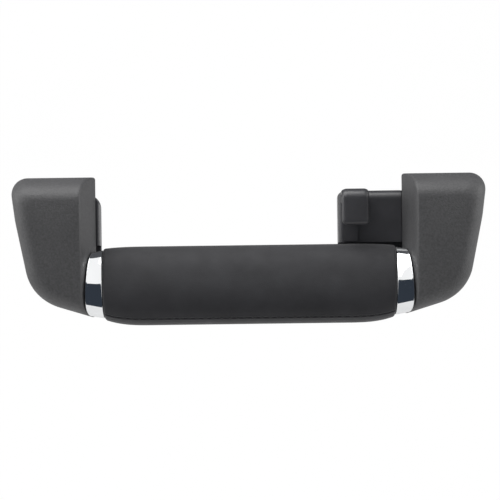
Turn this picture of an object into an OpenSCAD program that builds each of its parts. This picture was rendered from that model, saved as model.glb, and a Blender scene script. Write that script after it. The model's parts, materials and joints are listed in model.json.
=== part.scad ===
// Folding roof grab handle with a coat hook, in millimetres.
// +X runs along the handle, +Z is up as the stowed handle is seen from inside the cabin,
// +Y points into the roof. The origin is midway between the two fixing holes, on the roof plane.

/* [Handle] */
// Length over the two end housings
handle_len = 260; // [240:1:290]
// Height of the hinge axis above the fixing holes
hinge_z = 35; // [33:0.5:40]
// Distance from the roof plane to the hinge axis
hinge_y = 15; // [14.8:0.1:18]
// How far the handle folds down from its stowed position
open_angle = 75; // [55:1:78]

/* [End housings] */
// Width of a housing along its open back
leg_w = 45.8; // [44:0.2:50]
// Top of a housing above the hinge axis
leg_top = 10; // [9.8:0.1:10.4]
// Height of a housing down its inner wall
leg_h = 77.5; // [74:0.5:82]
// Depth of a housing from its open back to its face
leg_d = 30; // [28:0.5:34]
// Gap between the roof plane and a housing's open back
stand_off = 12; // [11:0.5:13]
// Wall thickness of a housing
leg_wall = 2.4; // [1.6:0.1:2.6]
// How far the inner wall leans away from the grip, from back to face
inner_lean = 5.4; // [2:0.2:6]
// How far down its outer side the housing starts to taper
shoulder_drop = 24; // [18:1:30]
// How far the outer side has come in at that shoulder
shoulder_in = 3; // [1:0.1:4]
// How far down its outer side the housing turns under
heel_drop = 67; // [62:1:68]
// How far the outer side has come in at that heel
heel_in = 11.4; // [7:0.2:12.4]
// Radius of the outer top corner
shoulder_r = 8; // [5:0.5:11]
// Radius of the heel
heel_r = 26; // [10:1:28]
// How far the face falls back towards its lower end
face_lean = 5; // [2:0.5:6]
// Crown of the face
face_crown = 0.6; // [0:0.1:1.5]
// Size of the rounding from the top into the face
top_round = 11; // [7:0.5:12]
// Size of the rounding from the outer side into the face
side_round = 6; // [4:0.5:8]
// Size of the rounding from the underside into the face
under_round = 12; // [9:0.5:14]

/* [Grip] */
// Distance from each end of the leather to the back edge of the housing's inner wall
collar_w = 5; // [4.8:0.1:9]
// Half height of the grip's section at its middle
grip_a = 22.1; // [19:0.1:22.5]
// Half thickness of the grip's section at its middle
grip_b = 13; // [11:0.1:13.6]
// Half height of the grip's section at its ends
grip_end_a = 19.9; // [18.2:0.1:20.4]
// Half thickness of the grip's section at its ends
grip_end_b = 11.9; // [10.6:0.1:12.4]
// Distance from the roof plane to the middle of the grip's section
grip_y = 19.5; // [19.2:0.1:21]
// Depth of the grip's middle below the fixing holes
grip_drop = 14.7; // [14:0.1:18]
// How much higher the section's middle lies at the grip's ends
grip_rise = 1.1; // [0:0.1:2]
// Lean of the section's top towards the roof
grip_tilt = 22; // [10:1:25]
// Length over which each end of the grip tapers
grip_taper = 26; // [16:1:40]
// Thickness of the leather
leather_t = 1.5; // [1:0.1:2]
// Half height of the hollow inside the grip's core
core_hollow_a = 13.5; // [8:0.5:15]
// Half thickness of that hollow
core_hollow_b = 6.5; // [4:0.5:8]
// Radius of the leather's turned end
leather_r = 1.4; // [0.6:0.1:1.8]

/* [Collars] */
// Half height of a collar at the grip
collar_a = 19.1; // [17.6:0.1:19.4]
// Half thickness of a collar at the grip
collar_b = 11.4; // [10.4:0.1:11.6]
// How much less a collar's half height is where it meets the housing
collar_shrink = 1.5; // [1:0.1:2.6]
// How much more its half thickness is there
collar_flare = 2; // [0:0.1:2.4]
// How far the collar's middle has moved towards the cabin there
collar_lead = 1.5; // [0:0.1:2]
// Thickness of a collar's shell
collar_t = 1.8; // [1.4:0.1:2.2]
// Thickness of the flange that centres a collar on its arm
collar_flange = 1.6; // [1:0.1:2.4]

/* [Arms] */
// Half height of the boss that carries a collar
boss_a = 10.8; // [9:0.1:11]
// Half thickness of that boss
boss_b = 7; // [6.2:0.1:7.2]
// Half height of the tenon inside the grip
tenon_a = 8.5; // [7:0.1:8.7]
// Half thickness of the tenon
tenon_b = 5; // [4:0.1:5.4]
// Length of the tenon
tenon_len = 22; // [14:1:30]
// Thickness of an arm's cheeks and web
arm_t = 3; // [2.4:0.1:3.2]
// Distance from the hinge axis to the back of the web
web_y = 11; // [10:0.5:12]
// Radius of the knuckles
knuckle_r = 5.2; // [4.6:0.1:5.2]
// Share of the room between the ears that each knuckle takes
knuckle_share = 0.235; // [0.2:0.005:0.25]
// Reach of the stop lug from the hinge axis
lug_r = 7.1; // [6.8:0.1:7.2]

/* [Brackets] */
// Thickness of a bracket's base plate
plate_t = 4; // [3:0.1:4]
// Radius of a fixing hole
fix_r = 3.25; // [2.6:0.05:3.6]
// Radius of the recess for the bolt head
recess_r = 6.4; // [5.8:0.1:6.6]
// Height of the recess wall above the base plate
recess_h = 3; // [2:0.2:4]
// Thickness of a hinge ear
ear_t = 4; // [3:0.2:4.4]
// Radius of a hinge ear round its pin
ear_r = 5.8; // [5.2:0.1:5.8]
// Room inside the housing for a pin's head, beside the inboard ear
head_room = 4; // [3.6:0.1:5]
// Room inside the housing for a pin's tail and the sloping outer side, beside the outboard ear
tail_room = 9; // [8.5:0.1:10]
// Height of a bracket's top edge above the hinge axis
bracket_top = 1; // [0:0.1:1.5]
// Height of the raised inboard block
block_h = 28.5; // [24:0.5:28.5]
// Depth of the raised inboard block from the roof plane
block_d = 12; // [10:0.5:12]
// How far the base plate reaches below the raised block
apron_h = 4.5; // [3:0.5:6]
// Width of the left bracket's raised edge
left_block_w = 1.7; // [1.4:0.1:4]
// Width of the right bracket's block, which carries the coat hook
right_block_w = 34.6; // [30:0.2:40]
// Wall thickness of the hollow block
block_wall = 2.4; // [1.8:0.1:3]
// Radius of the block's top corner as seen from the cabin
left_corner_r = 8; // [3:0.5:10]
// Radius of the right block's top corner as seen from the cabin
right_corner_r = 4; // [3:0.5:8]
// Radius of the block's front edges
edge_r = 3; // [1:0.1:3.4]

/* [Coat hook] */
// Width of the coat hook
hook_w = 14.2; // [12:0.2:18]
// Height of the coat hook's pad
hook_h = 19; // [16:0.5:22]
// How far the coat hook stands out from the block
hook_out = 14.8; // [12:0.2:15]
// Thickness of the hook's pad and arm
hook_t = 4; // [3:0.1:4.6]
// Radius of the hook's corners as seen from the cabin
hook_corner_r = 2.6; // [1:0.1:3.4]
// Radius of the hook's front side edges
hook_edge_r = 1.6; // [0.6:0.1:2]
// Width of the raised rib below the hook
rib_w = 7.2; // [6:0.2:10]
// Height of that rib above the block
rib_h = 1.2; // [0.6:0.1:2]

/* [Hinge] */
// Radius of a hinge pin
pin_r = 2.5; // [2:0.1:2.6]
// Radius of the pin's head
pin_head_r = 4; // [3.4:0.1:4.6]
// Wire thickness of the return spring
wire_t = 1.4; // [1:0.1:1.5]
// Outer radius of the rotary damper
damper_r = 6.4; // [5.6:0.1:6.6]
// Radius of the damper's rotor
rotor_r = 4; // [3.6:0.1:4.4]
// Radius of a rubber bumper
bumper_r = 4; // [3:0.1:4.6]

/* [Clearances] */
// Radial clearance of a pin in its ears
ear_fit = 0.02; // [0.01:0.01:0.05]
// Radial clearance of a knuckle on its pin
run_fit = 0.06; // [0.03:0.01:0.1]
// Clearance between fixed pieces that are fitted together
seat_fit = 0.15; // [0.1:0.01:0.25]
// Clearance between faces that move past each other
side_gap = 0.3; // [0.2:0.05:0.4]

/* [Hidden] */
$fn = 48;

// Colours of the finishes
leather_colour = [0.13, 0.13, 0.14];
grained_colour = [0.22, 0.22, 0.23];
smooth_colour = [0.10, 0.10, 0.11];
chrome_colour = [0.85, 0.86, 0.88];
steel_colour = [0.62, 0.63, 0.65];
nylon_colour = [0.16, 0.16, 0.17];
rubber_colour = [0.07, 0.07, 0.07];

// Superellipse power of the grip and collar sections, and the number of points round them
oval_n = 2.3;
oval_sides = 40;
// Overlap that makes two shapes of one piece run into each other
sink = 0.5;
// How far a cutting shape runs past the surface that it cuts
past = 1;

// A leg's own frame has its origin on the hinge axis, level with the back edge of the inner wall.
// Its +X points outboard, +Y into the roof and +Z up.
leg_x = handle_len / 2 - leg_w;
grip_len = 2 * (leg_x - collar_w);
roof_y = hinge_y;
plate_y = roof_y - plate_t;
back_y = roof_y - stand_off;
block_y = roof_y - block_d;
grip_end_x = grip_len / 2 - leg_x;
grip_leg_y = hinge_y - grip_y;
grip_leg_z = grip_rise - grip_drop - hinge_z;

// The hinge fills the housing's hollow, and the fixing hole is level with its middle
ear_in = leg_wall + head_room + ear_t;
ear_out = leg_w - tail_room - ear_t;
ear_gap = ear_out - ear_in;
hinge_x = (ear_in + ear_out) / 2;
fix_spacing = 2 * (leg_x + hinge_x);
knuckle_in = ear_in + side_gap;
knuckle_out = ear_out - side_gap;
knuckle_len = (ear_gap - 2 * side_gap) * knuckle_share;
pin_head_t = 1.4;
clip_t = 0.7;
clip_play = 0.1;
groove_r = pin_r - 0.5;

// The arm's boss starts just clear of the grip and ends flush with the cheek
boss_start = grip_end_x + seat_fit;
boss_end = knuckle_in + arm_t;
web_front = -web_y - arm_t;
cheek_low = grip_leg_z - 8;

// Stop lug and stop rib: directions are angles from the roof's direction, towards the top
lug_from = 60;
lug_to = 84;
stop_gap_angle = 2;
stop_angle = lug_from - open_angle - stop_gap_angle;
rib_clear = 0.5;

// Screws: the arm's, and the self-tapping ones of the housings and the hook
arm_screw_r = 2.4;
arm_screw_head_r = 4.4;
arm_screw_head_t = 3;
arm_screw_reach = 16;
tap_r = 1.45;
tap_head_r = 3;
tap_head_t = 2;
tap_reach = 7;
thread_fit = 0.05;
shank_fit = 0.3;
slot_w = 0.9;
slot_d = 0.9;
housing_screw_at = [[hinge_x, -15], [hinge_x, -37]];
screw_boss_r = 3.4;

// The bumper stands on the base plate, below the fixing hole and clear of the recess round it
recess_wall = 1.6;
bumper_side = 2;
bumper_drop = recess_r + recess_wall + bumper_r + 1;
bumper_at = [hinge_x + bumper_side, -hinge_z - bumper_drop];
bumper_stem_r = 2;
bumper_tall = 8;
bumper_gap = 0.3;

// Lower end of the base plate below the hinge axis, and its sides
plate_low = hinge_z + bumper_drop + bumper_r + 1.1;
plate_in = 2;
plate_out = ear_out + ear_t + 1;
plate_half_w = recess_r + recess_wall + 1.5;
plate_corner_r = 3;

// Profile helpers: a 2D outline in (y, z) pulled along X, and one in (x, z) pulled along Y
module prism_x(x0, x1) {
    translate([x0, 0, 0]) rotate([90, 0, 90]) linear_extrude(x1 - x0) children();
}

module prism_y(y0, y1) {
    translate([0, y1, 0]) rotate([90, 0, 0]) linear_extrude(y1 - y0) children();
}

// A rectangle from corner p to corner q whose corners are true arcs of radius r
module round_rect(p, q, r) {
    translate([p.x + r, p.y]) square([q.x - p.x - 2 * r, q.y - p.y]);
    translate([p.x, p.y + r]) square([q.x - p.x, q.y - p.y - 2 * r]);
    for (x = [p.x + r, q.x - r], y = [p.y + r, q.y - r]) translate([x, y]) circle(r);
}

// A rectangle from p to q with only its corner nearest p in x and q in y rounded
module one_round_rect(p, q, r) {
    difference() {
        translate(p) square(q - p);
        translate([p.x - past, q.y - r]) square([r + past, r + past]);
    }
    intersection() {
        translate([p.x + r, q.y - r]) circle(r);
        translate(p) square(q - p);
    }
}

// A round bar along X
module bar_x(x0, x1, r) {
    translate([x0, 0, 0]) rotate([0, 90, 0]) cylinder(h = x1 - x0, r = r);
}

// A round bar along Y
module bar_y(y0, y1, r) {
    translate([0, y1, 0]) rotate([90, 0, 0]) cylinder(h = y1 - y0, r = r);
}

// A leg's frame on the right, and its mirror image on the left
module right_leg() {
    translate([leg_x, -hinge_y, hinge_z]) children();
}

module left_leg() {
    mirror([1, 0, 0]) right_leg() children();
}

// Section of the grip family: a superellipse of half height a and half thickness b,
// leaned by the grip's tilt and centred on c, as [y, z] points
function oval(a, b, c) = [
    for (i = [0 : oval_sides - 1])
        let (
            t = 360 * i / oval_sides,
            y = b * sign(cos(t)) * pow(abs(cos(t)), 2 / oval_n),
            z = a * sign(sin(t)) * pow(abs(sin(t)), 2 / oval_n)
        )
        [
            c[0] + y * cos(grip_tilt) + z * sin(grip_tilt),
            c[1] - y * sin(grip_tilt) + z * cos(grip_tilt)
        ]
];

// Faces between ring j and ring k of n points each, clockwise as seen from outside
// when the rings run anticlockwise as seen from ring k's side
function band(j, k, n) = [
    for (i = [0 : n - 1])
        let (next = (i + 1) % n)
        each [[j * n + i, k * n + i, j * n + next], [j * n + next, k * n + i, k * n + next]]
];

function stack_faces(count, n) = [for (k = [0 : count - 2]) each band(k, k + 1, n)];

// A solid through a stack of rings, with flat ends
module loft(rings) {
    n = len(rings[0]);
    last = (len(rings) - 1) * n;
    polyhedron(
        points = [for (ring = rings) each ring],
        faces = concat(
            stack_faces(len(rings), n),
            [[for (i = [0 : n - 1]) i]],
            [[for (i = [n - 1 : -1 : 0]) last + i]]
        )
    );
}

// A hollow solid whose rings run out along its outside and back along its inside
module tube(rings) {
    n = len(rings[0]);
    polyhedron(
        points = [for (ring = rings) each ring],
        faces = concat(stack_faces(len(rings), n), band(len(rings) - 1, 0, n))
    );
}

// A solid through a stack of rings that closes on a point at each end
module spindle(first, rings, final) {
    n = len(rings[0]);
    last = (len(rings) - 1) * n;
    polyhedron(
        points = concat([for (ring = rings) each ring], [first, final]),
        faces = concat(
            stack_faces(len(rings), n),
            [for (i = [0 : n - 1]) [i, (i + 1) % n, last + n]],
            [for (i = [0 : n - 1]) [last + (i + 1) % n, last + i, last + n + 1]]
        )
    );
}

function reversed(list) = [for (i = [len(list) - 1 : -1 : 0]) list[i]];

// The grip. Everything is a function of the distance from the nearer end: the section swells
// from its end size to its middle size over the taper, and the leather's edge is turned.
function swell(d) = 1 - pow(1 - min(d / grip_taper, 1), 3);
function turn(d) = d >= leather_r ? 0 : leather_r - sqrt(pow(leather_r, 2) - pow(leather_r - d, 2));

function grip_ring(x, inset, turned) =
    let (
        d = grip_len / 2 - abs(x),
        less = inset + (turned ? turn(d) : 0),
        c = [-grip_y, -grip_drop + grip_rise * (1 - swell(d))]
    )
    [
        for (p = oval(
            grip_end_a + (grip_a - grip_end_a) * swell(d) - less,
            grip_end_b + (grip_b - grip_end_b) * swell(d) - less,
            c
        )) [x, p[0], p[1]]
    ];

turned_steps = 3;
taper_steps = 6;
end_distances = concat(
    [for (i = [0 : turned_steps]) leather_r * (1 - cos(90 * i / turned_steps))],
    [for (i = [1 : taper_steps]) leather_r + (grip_taper - leather_r) * pow(i / taper_steps, 1.5)]
);
grip_stations = concat(
    [for (d = end_distances) d - grip_len / 2],
    [for (d = reversed(end_distances)) grip_len / 2 - d]
);

module grip_leather() {
    color(leather_colour) tube(concat(
        [for (x = grip_stations) grip_ring(x, 0, true)],
        [for (x = reversed(grip_stations)) grip_ring(x, leather_t, false)]
    ));
}

core_stations = concat(
    [for (i = [0 : taper_steps]) grip_taper * pow(i / taper_steps, 1.5) - grip_len / 2],
    [for (i = [taper_steps : -1 : 0]) grip_len / 2 - grip_taper * pow(i / taper_steps, 1.5)]
);

// The moulded core has the leather's inner shape, a socket for each arm's tenon,
// a pilot hole for its screw, and a hollow that the pilot holes open into
hollow_end = grip_len / 2 - tenon_len - arm_screw_reach + 1;

module grip_core() {
    color(nylon_colour) difference() {
        loft([for (x = core_stations) grip_ring(x, leather_t + seat_fit, false)]);
        for (side = [0, 1]) mirror([side, 0, 0]) right_leg() {
            prism_x(grip_end_x - tenon_len - seat_fit, grip_end_x + past)
                polygon(oval(tenon_a + seat_fit, tenon_b + seat_fit, [grip_leg_y, grip_leg_z]));
            translate([0, grip_leg_y, grip_leg_z]) bar_x(
                grip_end_x - tenon_len - arm_screw_reach - 1,
                grip_end_x,
                arm_screw_r + thread_fit
            );
        }
        prism_x(-hollow_end, hollow_end)
            polygon(oval(core_hollow_a, core_hollow_b, [-grip_y, -grip_drop + grip_rise / 2]));
    }
}

// The housing. A section at depth share w, from 0 at the open back to 1 at the face, is a
// five-cornered outline whose sides have come in by a lean that grows with w and a rounding
// that turns into the face: round * (1 - sqrt(1 - w^k)), where a larger k is a tighter turn.
function rounding(w, size, k) = size * (1 - sqrt(max(0, 1 - pow(w, k))));

inner_edge = 0.8;
top_lean = 1;
outer_lean = 1.5;
under_lean = 1.5;

function inset_inner(w) = inner_lean * w + rounding(w, inner_edge, 16);
function inset_top(w) = top_lean * w + rounding(w, top_round, 2);
function inset_outer(w) = outer_lean * w + rounding(w, side_round, 4);
function inset_under(w) = under_lean * w + rounding(w, under_round, 2.5);

// Where two lines meet, each given as [point, direction]
function meet(p, u, q, v) =
    let (t = ((q.x - p.x) * v.y - (q.y - p.y) * v.x) / (u.x * v.y - u.y * v.x))
    p + u * t;

// The line from p to q moved to its right by s
function moved(p, q, s) =
    let (d = (q - p) / norm(q - p))
    [p + s * [d.y, -d.x], d];

// Points of an arc of radius r that rounds the corner b between a and c
function corner(a, b, c, r, steps) =
    let (
        u = (a - b) / norm(a - b),
        v = (c - b) / norm(c - b),
        half = acos(max(-1, min(1, u * v))) / 2,
        reach = min(r / tan(half), 0.45 * norm(a - b), 0.45 * norm(c - b)),
        fit_r = reach * tan(half),
        middle = b + (u + v) / norm(u + v) * (fit_r / sin(half)),
        from = b + u * reach - middle,
        to = b + v * reach - middle,
        a0 = atan2(from.y, from.x),
        turn_by = ((atan2(to.y, to.x) - a0 + 540) % 360) - 180
    )
    [for (i = [0 : steps]) middle + fit_r * [cos(a0 + turn_by * i / steps), sin(a0 + turn_by * i / steps)]];

inner_top_r = 1.5;
toe_r = 2;
side_bow_r = 70;

// Outline of the housing at depth share w, in (x, z), anticlockwise as seen from the cabin,
// with every side a further wall inside
function leg_outline(w, wall) =
    let (
        b0 = [leg_w, leg_top],
        e0 = [leg_w - shoulder_in, leg_top - shoulder_drop],
        c0 = [leg_w - heel_in, leg_top - heel_drop],
        d0 = [0, leg_top - leg_h],
        inner = [[inset_inner(w) + wall, 0], [0, 1]],
        top = [[0, leg_top - inset_top(w) - wall], [1, 0]],
        upper = moved(b0, e0, inset_outer(w) + wall),
        lower = moved(e0, c0, inset_outer(w) + wall),
        under = moved(c0, d0, inset_under(w) + wall),
        a = meet(inner[0], inner[1], top[0], top[1]),
        b = meet(top[0], top[1], upper[0], upper[1]),
        e = meet(upper[0], upper[1], lower[0], lower[1]),
        c = meet(lower[0], lower[1], under[0], under[1]),
        d = meet(under[0], under[1], inner[0], inner[1])
    )
    reversed(concat(
        corner(d, a, b, inner_top_r, 3),
        corner(a, b, e, shoulder_r - wall / 2, 7),
        corner(b, e, c, side_bow_r, 5),
        corner(e, c, d, heel_r - wall / 2, 8),
        corner(c, d, a, toe_r, 3)
    ));

// Depth of the housing at share w and height z: the face falls back towards the lower end
function leg_depth(w, z, wall) =
    w * (leg_d - wall - face_lean * pow(max(0, min(1, -z / (heel_drop - leg_top))), 1.3));

function leg_ring(w, wall) = [for (p = leg_outline(w, wall)) [p.x, back_y - leg_depth(w, p.y, wall), p.y]];

// Rings of the face: the front outline drawn in towards its middle, on a slight crown
function face_ring(share, wall) =
    let (
        edge = leg_outline(1, wall),
        mid = face_middle(wall)
    )
    [
        for (p = edge)
            let (q = mid + share * (p - mid))
            [q.x, back_y - leg_depth(1, q.y, wall) - face_crown * (1 - share * share), q.y]
    ];

function face_middle(wall) =
    let (edge = leg_outline(1, wall))
    [
        (min([for (p = edge) p.x]) + max([for (p = edge) p.x])) / 2,
        (min([for (p = edge) p.y]) + max([for (p = edge) p.y])) / 2
    ];

function face_tip(wall) =
    let (m = face_middle(wall))
    [m.x, back_y - leg_depth(1, m.y, wall) - face_crown, m.y];

side_shares = [0, 0.3, 0.5, 0.66, 0.79, 0.88, 0.94, 0.98, 1];
face_shares = [0.8, 0.45];

function leg_rings(wall) = concat(
    [for (w = side_shares) leg_ring(w, wall)],
    [for (share = face_shares) face_ring(share, wall)]
);

notch_fit = 0.6;

// One housing: a moulded shell, open at the back, with a notch for the arm's boss
// and two screw bosses that reach back to the arm's web
module housing() {
    color(grained_colour) difference() {
        union() {
            spindle(
                face_tip(leg_wall),
                concat(reversed(leg_rings(leg_wall)), leg_rings(0)),
                face_tip(0)
            );
            for (p = housing_screw_at) translate([p[0], 0, p[1]])
                bar_y(face_y(p[1]) - sink, web_front - seat_fit, screw_boss_r);
        }
        prism_x(-past, boss_end) boss_notch();
        for (p = housing_screw_at) translate([p[0], 0, p[1]])
            bar_y(web_front - tap_reach - seat_fit, web_front + past, tap_r + thread_fit);
    }
}

// Inner surface of the face at height z, near the middle of the housing
function face_y(z) = back_y - leg_depth(1, z, leg_wall) - face_crown;

// The notch lets the housing come on from the front, over the arm's boss
module boss_notch() {
    section = oval(boss_a + notch_fit, boss_b + notch_fit, [grip_leg_y, grip_leg_z]);
    zs = [for (p = section) p[1]];
    polygon(section);
    translate([grip_leg_y, min(zs)]) square([back_y + past - grip_leg_y, max(zs) - min(zs)]);
}

// A collar: a chrome ring between the grip and the housing's leaning inner wall, which gets
// lower and thicker on the way. Its outer end is cut along that wall, and a flange inside it
// sits on the arm's boss.
wall_gap = 0.2;

function wall_x(y) = inner_lean * (back_y - y) / leg_d - wall_gap;

function collar_ring(share, less) = [
    for (p = oval(
        collar_a - collar_shrink * share - less,
        collar_b + collar_flare * share - less,
        [grip_leg_y - collar_lead * share, grip_leg_z]
    ))
        let (x0 = grip_end_x + seat_fit)
        [x0 + (wall_x(p[0]) - x0) * share, p[0], p[1]]
];

// The same ring set back to x wherever it would reach past it
function cut_ring(share, less, x) = [for (p = collar_ring(share, less)) [min(p[0], x), p[1], p[2]]];

function flat_oval(a, b, x) = [for (p = oval(a, b, [grip_leg_y, grip_leg_z])) [x, p[0], p[1]]];

collar_edge = 0.5;

module collar() {
    flange_out = wall_x(grip_leg_y + collar_b);
    flange_in = flange_out - collar_flange;
    start = grip_end_x + seat_fit;
    share_in = (flange_in - start) / (wall_x(grip_leg_y) - start);
    share_out = (flange_out - start) / (wall_x(grip_leg_y) - start);
    color(chrome_colour) tube([
        collar_ring(0, collar_edge),
        collar_ring(0.05, 0),
        collar_ring(0.5, 0),
        collar_ring(0.95, 0),
        collar_ring(1, collar_edge),
        collar_ring(1, collar_t),
        cut_ring(share_out, collar_t, flange_out),
        flat_oval(boss_a + seat_fit, boss_b + seat_fit, flange_out),
        flat_oval(boss_a + seat_fit, boss_b + seat_fit, flange_in),
        cut_ring(share_in, collar_t, flange_in),
        collar_ring(0, collar_t)
    ]);
}

// An arm: two knuckles on the pin, two cheeks, a web across their front, a boss through
// the collar, a tenon in the grip, a stop lug and a rib that lands on the bumper
module cheek(low) {
    polygon([
        [0, knuckle_r - 0.4], [-web_y, 0], [web_front, -6], [web_front, low + 11],
        [web_front + 6, low], [2, low], [3, low + 14], [-web_y + 3, low + 24],
        [-web_y + 3, -14], [knuckle_r - 1.2, -2]
    ]);
}

module arm() {
    cheek_out = knuckle_out - arm_t;
    color(nylon_colour) difference() {
        union() {
            for (x = [knuckle_in, knuckle_out - knuckle_len])
                bar_x(x, x + knuckle_len, knuckle_r);
            prism_x(knuckle_in, knuckle_in + arm_t) cheek(cheek_low);
            prism_x(cheek_out, knuckle_out) cheek(cheek_low + 12);
            prism_y(web_front, -web_y) polygon([
                [knuckle_in, -5], [knuckle_out, -5], [knuckle_out, cheek_low + 16],
                [bumper_at[0] + arm_t / 2 + 0.5, bumper_at[1] - 3], [knuckle_in, bumper_at[1] - 3]
            ]);
            prism_x(boss_start, boss_end)
                polygon(oval(boss_a, boss_b, [grip_leg_y, grip_leg_z]));
            prism_x(grip_end_x - tenon_len, boss_start + sink)
                polygon(oval(tenon_a, tenon_b, [grip_leg_y, grip_leg_z]));
            prism_x(knuckle_in, knuckle_in + knuckle_len) stop_lug();
            translate([bumper_at[0], 0, bumper_at[1]])
                prism_x(-arm_t / 2, arm_t / 2) translate([-web_y - sink, -3])
                    square([web_y + sink + bumper_y() - bumper_gap, 6]);
        }
        bar_x(knuckle_in - past, knuckle_out + past, pin_r + run_fit);
        translate([0, grip_leg_y, grip_leg_z])
            bar_x(grip_end_x - tenon_len - past, boss_end + past, arm_screw_r + shank_fit);
        for (p = housing_screw_at) translate([p[0], 0, p[1]])
            bar_y(web_front - past, -web_y + past, tap_r + shank_fit);
    }
}

// The lug ends short of the housing's top wall; at rest it stands up and back from the pin
module stop_lug() {
    polygon([
        [0, 0],
        lug_r * [cos(lug_from), sin(lug_from)],
        lug_r * [cos((lug_from + lug_to) / 2), sin((lug_from + lug_to) / 2)],
        lug_r * [cos(lug_to), sin(lug_to)]
    ]);
}

// Height of the bumper's top, which the arm's rib rests against when the handle is stowed
function bumper_y() = plate_y - bumper_tall;

// A bracket: base plate, two hinge ears with necks, stop rib, recess for the bolt head,
// and a raised block at its inboard edge
neck_top = 9;
neck_low = 25;
recess_sunk = 0.8;

module ear_profile() {
    neck_r = ear_r - sink / 2;
    upper = acos(ear_r / norm([plate_y, neck_top])) - atan2(neck_top, plate_y);
    lower = -acos(ear_r / norm([plate_y, neck_low])) - atan2(neck_low, plate_y);
    circle(ear_r);
    polygon([
        [0, 0], neck_r * [cos(upper), sin(upper)], [plate_y, -neck_top],
        [plate_y + sink, -neck_top], [plate_y + sink, -neck_low], [plate_y, -neck_low],
        neck_r * [cos(lower), sin(lower)]
    ]);
}

module stop_rib() {
    r = knuckle_r + rib_clear;
    end = plate_y + sink;
    polygon([
        r * [cos(stop_angle), sin(stop_angle)],
        [end, end * tan(stop_angle)],
        [end, -neck_low + 8],
        r * [cos(-52), sin(-52)]
    ]);
}

module base_outline(width, corner_r) {
    block_in = -side_gap - width;
    low = bracket_top - block_h - apron_h;
    one_round_rect([block_in, low], [plate_out - plate_corner_r, bracket_top], corner_r);
    round_rect([plate_in, low], [plate_out, bracket_top], plate_corner_r);
    round_rect([hinge_x - plate_half_w, -plate_low], [hinge_x + plate_half_w, 0], plate_corner_r);
}

// The block stands clear of the housing's inner wall by the side gap
module block(width, corner_r) {
    block_in = -side_gap - width;
    low = bracket_top - block_h;
    intersection() {
        prism_y(block_y, roof_y)
            one_round_rect([block_in, low], [-side_gap, bracket_top], corner_r);
        translate([0, 0, low - past]) linear_extrude(block_h + 2 * past)
            mirror([0, 1, 0]) one_round_rect([block_in, -roof_y], [-side_gap, -block_y], min(edge_r, width));
        prism_x(block_in - past, 0)
            one_round_rect([block_y, low], [roof_y, bracket_top], edge_r * 1.6);
    }
}

module block_hollow(width) {
    block_in = -side_gap - width;
    low = bracket_top - block_h;
    prism_y(block_y + block_wall, roof_y + past) round_rect(
        [block_in + block_wall, low + block_wall],
        [-side_gap - block_wall, bracket_top - block_wall],
        1.5
    );
}

module bracket(width, corner_r, hollow) {
    fix = [hinge_x, -hinge_z];
    color(smooth_colour) difference() {
        union() {
            difference() {
                union() {
                    prism_y(plate_y, roof_y) base_outline(width, corner_r);
                    block(width, corner_r);
                }
                if (hollow) block_hollow(width);
            }
            if (hollow) hook_rib();
            for (x = [ear_in - ear_t, ear_out]) prism_x(x, x + ear_t) ear_profile();
            prism_x(knuckle_in, knuckle_in + knuckle_len) stop_rib();
            translate([fix[0], 0, fix[1]]) bar_y(plate_y - recess_h, roof_y, recess_r + recess_wall);
        }
        bar_x(ear_in - ear_t - past, ear_out + ear_t + past, pin_r + ear_fit);
        translate([fix[0], 0, fix[1]]) {
            bar_y(plate_y - recess_h - past, roof_y + past, fix_r);
            bar_y(plate_y - recess_h - past, plate_y + recess_sunk, recess_r);
        }
        translate([bumper_at[0], 0, bumper_at[1]])
            bar_y(plate_y - past, roof_y + past, bumper_stem_r + seat_fit);
        if (hollow) translate([hook_x, 0, hook_screw_z])
            bar_y(block_y - rib_h - past, roof_y, tap_r + shank_fit);
    }
}

// The coat hook stands at the inboard end of the right block, above a raised rib
hook_in = -side_gap - right_block_w + 1.2;
rib_in = hook_in + 2;
hook_x = rib_in + rib_w / 2;
hook_top = bracket_top;
hook_screw_z = hook_top - 9;
hook_back = block_y - rib_h;
hook_root_h = 13;
hook_bend = 5.5;
throat_r = 2;

module hook_rib() {
    low = bracket_top - block_h;
    prism_y(block_y - rib_h, block_y + sink) round_rect(
        [rib_in, low + 0.6],
        [rib_in + rib_w, bracket_top - edge_r * 1.6],
        1
    );
}

module hook_profile() {
    front = block_y - hook_out;
    under = hook_top - hook_t - 0.5;
    difference() {
        one_round_rect([front, under - throat_r - 1], [hook_back, hook_top], hook_bend);
        round_rect([front + hook_t, under - 3 * throat_r], [hook_back - hook_t, under], throat_r);
    }
    round_rect([front, hook_top - hook_h], [front + hook_t, under], hook_t / 2 - 0.1);
}

module coat_hook() {
    right_leg() color(smooth_colour) difference() {
        union() {
            intersection() {
                prism_x(hook_in, hook_in + hook_w) hook_profile();
                prism_y(block_y - hook_out - past, roof_y) round_rect(
                    [hook_in, hook_top - hook_h],
                    [hook_in + hook_w, hook_top],
                    hook_corner_r
                );
                translate([0, 0, hook_top - hook_h - past]) linear_extrude(hook_h + 2 * past)
                    round_rect([hook_in, block_y - hook_out], [hook_in + hook_w, roof_y], hook_edge_r);
            }
            prism_y(hook_back - hook_t, hook_back)
                round_rect([rib_in, hook_top - hook_root_h], [rib_in + rib_w, hook_top - 2], 1);
        }
        translate([hook_x, 0, hook_screw_z])
            bar_y(hook_back - hook_t + 0.6, hook_back + past, tap_r + thread_fit);
    }
}

// A pan-headed self-tapping screw along Y: its head's seat at y = 0, its point towards -Y
module tap_screw(reach) {
    color(steel_colour) difference() {
        union() {
            bar_y(-reach, 0, tap_r);
            bar_y(0, tap_head_t, tap_head_r);
        }
        for (turn = [0, 90]) rotate([0, turn, 0])
            translate([-2, tap_head_t - slot_d, -slot_w / 2]) cube([4, slot_d + past, slot_w]);
    }
}

module hook_screw() {
    right_leg() translate([hook_x, block_y + block_wall, hook_screw_z])
        tap_screw(block_wall + rib_h + hook_t - 1);
}

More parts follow.
